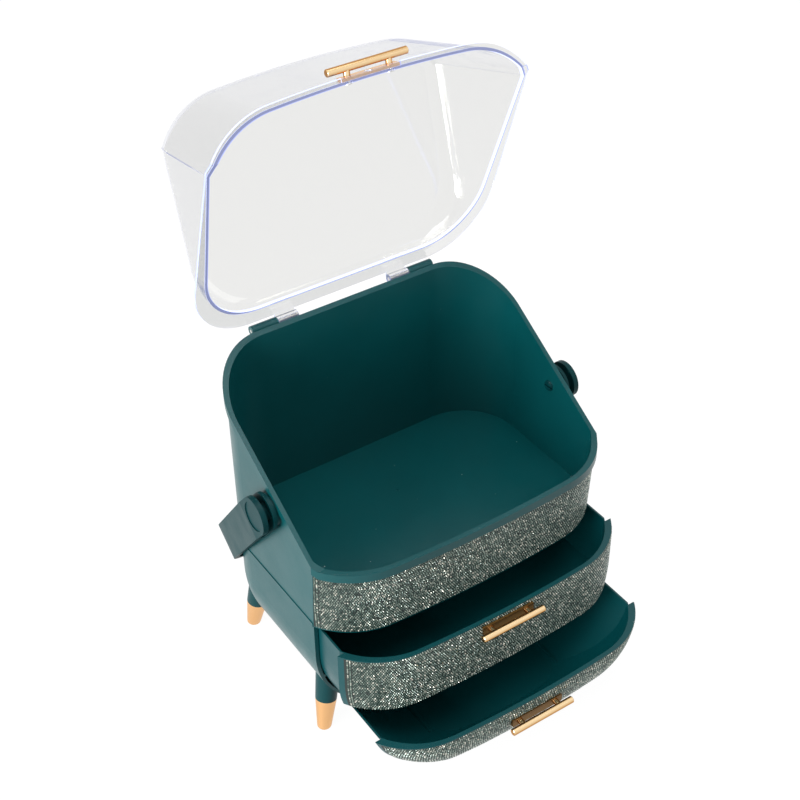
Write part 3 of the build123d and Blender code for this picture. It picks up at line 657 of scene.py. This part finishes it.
FLOOR_HALF = 6.0
CARD_GREY = (0.62, 0.62, 0.62, 1.0)
CARD_GLOW = 1.12
CARD_GLOW_SHARE = 0.86
WORLD_LIGHT = 0.34
WORLD_SEEN = 1.0


def background_rays(tree, links):
    """1 for what the camera, a gloss or a clear piece sees, 0 for light that falls on things."""
    path = tree.new("ShaderNodeLightPath")
    seen = calculate(tree, links, "MAXIMUM", path.outputs["Is Camera Ray"],
                     path.outputs["Is Glossy Ray"])
    return calculate(tree, links, "MAXIMUM", seen, path.outputs["Is Transmission Ray"])


def pale_floor():
    """A sweep of white card: almost white where lit, a little darker in the shadow."""
    material = bpy.data.materials.new("white card")
    material.use_nodes = True
    tree, links = material.node_tree.nodes, material.node_tree.links
    tree.clear()
    card = tree.new("ShaderNodeBsdfDiffuse")
    card.inputs["Color"].default_value = CARD_GREY
    glow = tree.new("ShaderNodeEmission")
    glow.inputs["Color"].default_value = WHITE
    glow.inputs["Strength"].default_value = CARD_GLOW
    mix = tree.new("ShaderNodeMixShader")
    output = tree.new("ShaderNodeOutputMaterial")
    links.new(calculate(tree, links, "MULTIPLY", background_rays(tree, links), CARD_GLOW_SHARE),
              mix.inputs["Fac"])
    links.new(card.outputs["BSDF"], mix.inputs[1])
    links.new(glow.outputs["Emission"], mix.inputs[2])
    links.new(mix.outputs["Shader"], output.inputs["Surface"])
    return material


def floor_sheet():
    corners = [(-FLOOR_HALF, -FLOOR_HALF, 0), (FLOOR_HALF, -FLOOR_HALF, 0),
               (FLOOR_HALF, FLOOR_HALF, 0), (-FLOOR_HALF, FLOOR_HALF, 0)]
    mesh = bpy.data.meshes.new("floor")
    mesh.from_pydata(corners, [], [(0, 1, 2, 3)])
    mesh.materials.append(pale_floor())
    floor = bpy.data.objects.new("floor", mesh)
    bpy.context.collection.objects.link(floor)


def studio_world():
    world = bpy.data.worlds.new("studio")
    bpy.context.scene.world = world
    world.use_nodes = True
    tree, links = world.node_tree.nodes, world.node_tree.links
    tree.clear()
    surround = tree.new("ShaderNodeBackground")
    surround.inputs["Color"].default_value = WHITE
    links.new(remap(tree, links, background_rays(tree, links), RISING, (WORLD_LIGHT, WORLD_SEEN)),
              surround.inputs["Strength"])
    output = tree.new("ShaderNodeOutputWorld")
    links.new(surround.outputs["Background"], output.inputs["Surface"])


def softbox(name, place, target, width, height, watts):
    light = bpy.data.lights.new(name, "AREA")
    light.shape = "RECTANGLE"
    light.size, light.size_y = width, height
    light.energy = watts
    lamp = bpy.data.objects.new(name, light)
    lamp.location = place
    aim = Vector(target) - Vector(place)
    lamp.rotation_euler = aim.to_track_quat("-Z", "Y").to_euler()
    bpy.context.collection.objects.link(lamp)


def photo_camera():
    """The camera at the photograph's viewing angle."""
    camera = bpy.data.cameras.new("camera")
    camera.lens = 66.27
    camera.sensor_width = 36.0
    camera.shift_x = 0.00036
    camera.shift_y = -0.0085
    stand = bpy.data.objects.new("camera", camera)
    stand.location = (-0.5251, -0.7556, 0.9874)
    stand.rotation_euler = (radians(52.3135), radians(0.5889), radians(-34.1378))
    bpy.context.collection.objects.link(stand)
    bpy.context.scene.camera = stand


floor_sheet()
studio_world()
softbox("overhead softbox", place=(-0.1, -0.2, 1.9), target=(0, 0, 0.1),
        width=1.3, height=1.3, watts=19.0)
softbox("left softbox", place=(-1.7, -0.25, 0.5), target=(0, 0, 0.2),
        width=1.0, height=0.9, watts=38.0)
softbox("right softbox", place=(1.5, -0.9, 1.0), target=(0, 0, 0.2),
        width=0.9, height=1.3, watts=4.0)
photo_camera()
bpy.context.scene.view_settings.view_transform = "Standard"
